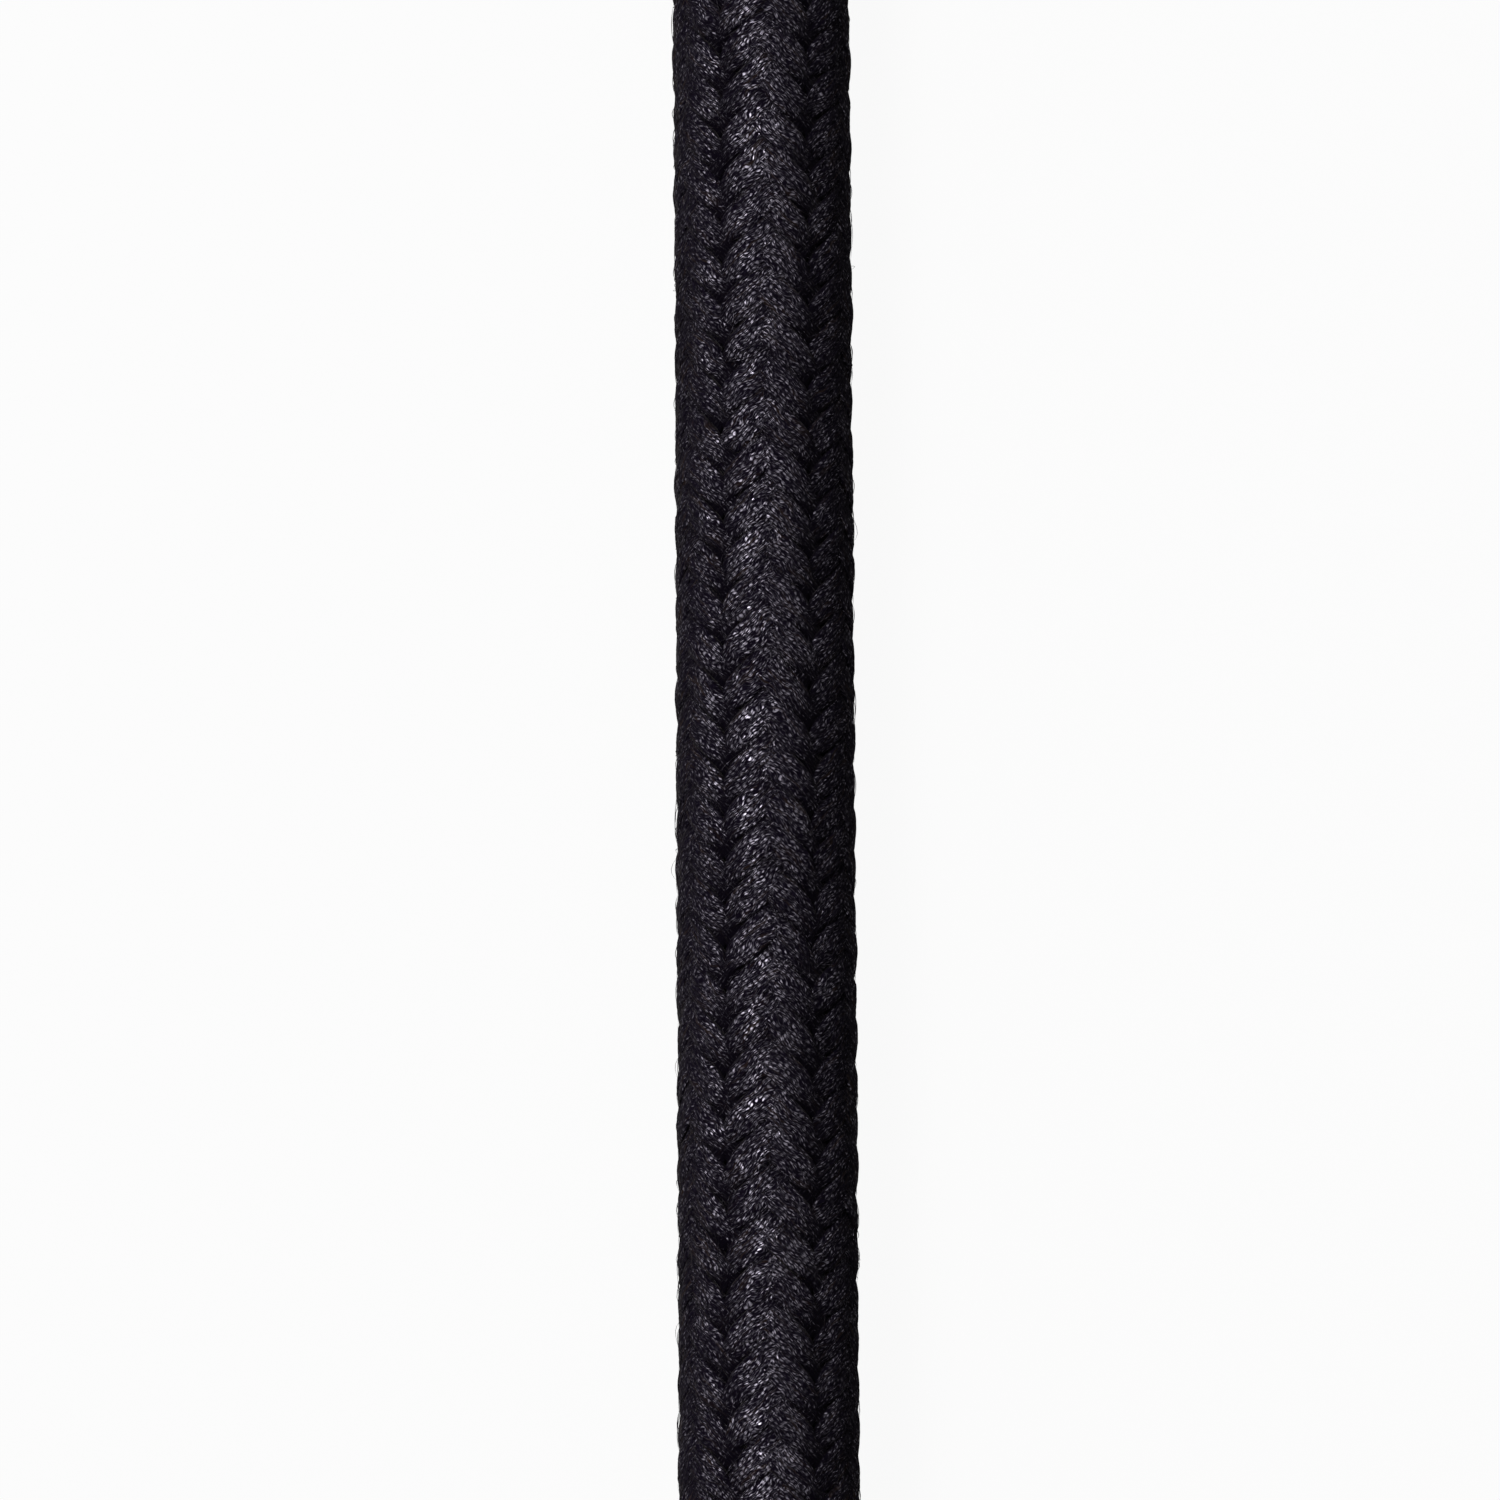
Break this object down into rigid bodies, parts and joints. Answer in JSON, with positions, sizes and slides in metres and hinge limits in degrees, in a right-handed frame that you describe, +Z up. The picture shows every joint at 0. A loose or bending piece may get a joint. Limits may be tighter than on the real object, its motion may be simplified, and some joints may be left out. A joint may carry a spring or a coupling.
{
  "type": "cable shutter release",
  "caption": "Mechanical cable release: spring-return plunger handle with finger plate and lock screw, black braided cable and a swivelling taper-thread tip.",
  "frame": {"origin": "under the middle of the handle, on the surface it lies on", "axes": "+Y along the handle, from the thumb button towards the cable; +Z up; the tip points towards -Y beside the handle, on the +X side"},
  "size_m": [0.0799, 0.1651, 0.0163],
  "materials": {
    "black_braid": "tight braid of glossy black yarn, twill pattern",
    "nickel": "bright nickel plate on brass, fine turning marks",
    "steel": "drawn spring steel",
    "brass": "turned brass"
  },
  "bodies": {
    "handle": {"barrel": "nickel", "barrel_head": "nickel", "finger_plate": "nickel", "return_spring": "steel", "neck": "nickel", "handle_ferrule": "nickel", "cable_braid": "black_braid", "conduit_head": "steel", "conduit_tail": "steel", "tip_ferrule": "nickel", "snap_ring": "steel"},
    "plunger": {"thumb_button": "nickel", "plunger_tube": "nickel", "plunger_rod": "steel", "wire_head": "steel"},
    "release_pin": {"release_pin": "steel", "wire_tail": "steel"},
    "tip_swivel": {"swivel_collar": "nickel", "tip_nozzle": "nickel"},
    "lock_pad": {"lock_pad": "brass"},
    "lock_screw": {"lock_screw": "nickel"}
  },
  "joints": [
    {"name": "button_press", "type": "slide", "parent": "handle", "child": "plunger", "axis": [0, 1, 0], "range_m": [0, 0.008], "stiffness_N_per_m": 150, "springref_m": -0.006, "deforming": ["return_spring"]},
    {"name": "pin_travel", "type": "slide", "parent": "handle", "child": "release_pin", "axis": [0, -1, 0], "range_m": [0, 0.008]},
    {"name": "tip_turn", "type": "hinge", "parent": "handle", "child": "tip_swivel", "pos_m": [0.0626, -0.0099, 0.0038], "axis": [0, -1, 0], "continuous": true},
    {"name": "lock_pad_slide", "type": "slide", "parent": "handle", "child": "lock_pad", "axis": [0, 0, -1], "range_m": [0, 0.0003375]},
    {"name": "lock_screw_turn", "type": "hinge", "parent": "lock_pad", "child": "lock_screw", "pos_m": [0, -0.02092, 0.0122], "axis": [0, 0, -1], "range_deg": [0, 270.01]}
  ],
  "couplings": [
    {"joint": "pin_travel", "follows": "button_press", "ratio": 1},
    {"joint": "lock_screw_turn", "follows": "lock_pad_slide", "rad_per_m": 13963}
  ]
}
